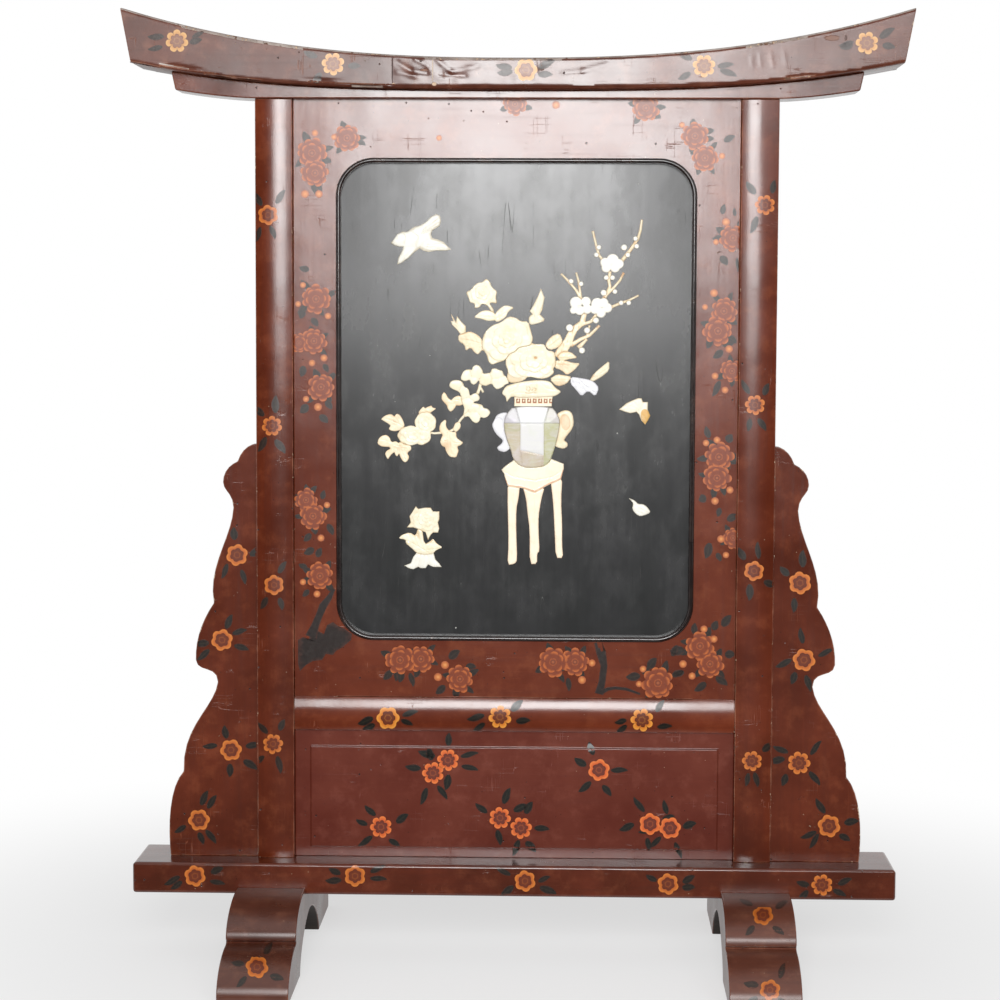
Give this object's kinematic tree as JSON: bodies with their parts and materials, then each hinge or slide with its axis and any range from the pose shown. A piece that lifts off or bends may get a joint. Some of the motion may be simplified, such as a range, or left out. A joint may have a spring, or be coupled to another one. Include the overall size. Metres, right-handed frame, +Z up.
{
  "type": "table screen",
  "caption": "Table screen of red-brown lacquered wood: a framed panel with a raised vase-and-flower picture between two posts, under a curved cap, on arched feet.",
  "frame": {"origin": "on the floor, under the centre of the screen", "axes": "+Z up, picture side toward -Y, +X to the viewer's right when looking at the picture"},
  "size_m": [0.6226, 0.302, 0.7625],
  "materials": {
    "red_lacquer": "gloss, red-brown lacquer, worn and scratched",
    "dark_lacquer": "gloss, dark red-brown lacquer, worn at the edges",
    "black_lacquer": "satin black lacquer with fine brushed scuffs",
    "bare_wood": "matt, plain",
    "cream_bone": "polished cream bone",
    "white_bone": "polished white bone",
    "tan_bone": "polished bone with tan stain",
    "pearl_shell": "polished shell with a soft colour play"
  },
  "bodies": {
    "root": {"foot_left": "dark_lacquer", "foot_right": "dark_lacquer", "base_rail": "dark_lacquer", "post_left": "red_lacquer", "post_right": "red_lacquer", "bracket_left": "red_lacquer", "bracket_right": "red_lacquer", "apron_panel": "red_lacquer", "mid_rail": "red_lacquer", "frame_stile_left": "red_lacquer", "frame_stile_right": "red_lacquer", "frame_rail_bottom": "red_lacquer", "frame_rail_top": "red_lacquer", "bead_upper": "dark_lacquer", "bead_lower": "dark_lacquer", "picture_board": "black_lacquer", "backing_board": "bare_wood", "batten_bottom": "dark_lacquer", "batten_top": "dark_lacquer", "batten_left": "dark_lacquer", "batten_right": "dark_lacquer", "batten_pins": "bare_wood", "cap_lower": "dark_lacquer", "cap_upper": "dark_lacquer", "foot_dowels": "bare_wood", "cap_dowels": "bare_wood", "inlay_bird": "white_bone", "inlay_rose": "cream_bone", "inlay_rose_leaves": "cream_bone", "inlay_bud_left": "cream_bone", "inlay_leaf_left": "tan_bone", "inlay_peony_left": "cream_bone", "inlay_peony_right": "cream_bone", "inlay_bud_upper": "cream_bone", "inlay_leaves_right": "tan_bone", "inlay_leaf_white": "white_bone", "inlay_bud_right": "cream_bone", "inlay_plum_branch": "tan_bone", "inlay_plum_blossoms": "white_bone", "inlay_spray_stems": "cream_bone", "inlay_spray_leaves": "cream_bone", "inlay_spray_blossoms": "white_bone", "inlay_vase_collar": "cream_bone", "inlay_vase_neck": "tan_bone", "inlay_vase_body": "pearl_shell", "inlay_handle_left": "white_bone", "inlay_handle_right": "tan_bone", "inlay_stand_top": "cream_bone", "inlay_stand_legs": "cream_bone", "inlay_pot_flower": "cream_bone", "inlay_pot_leaves": "cream_bone", "inlay_pot": "white_bone", "inlay_butterfly": "white_bone", "inlay_petal": "white_bone"}
  },
  "joints": []
}
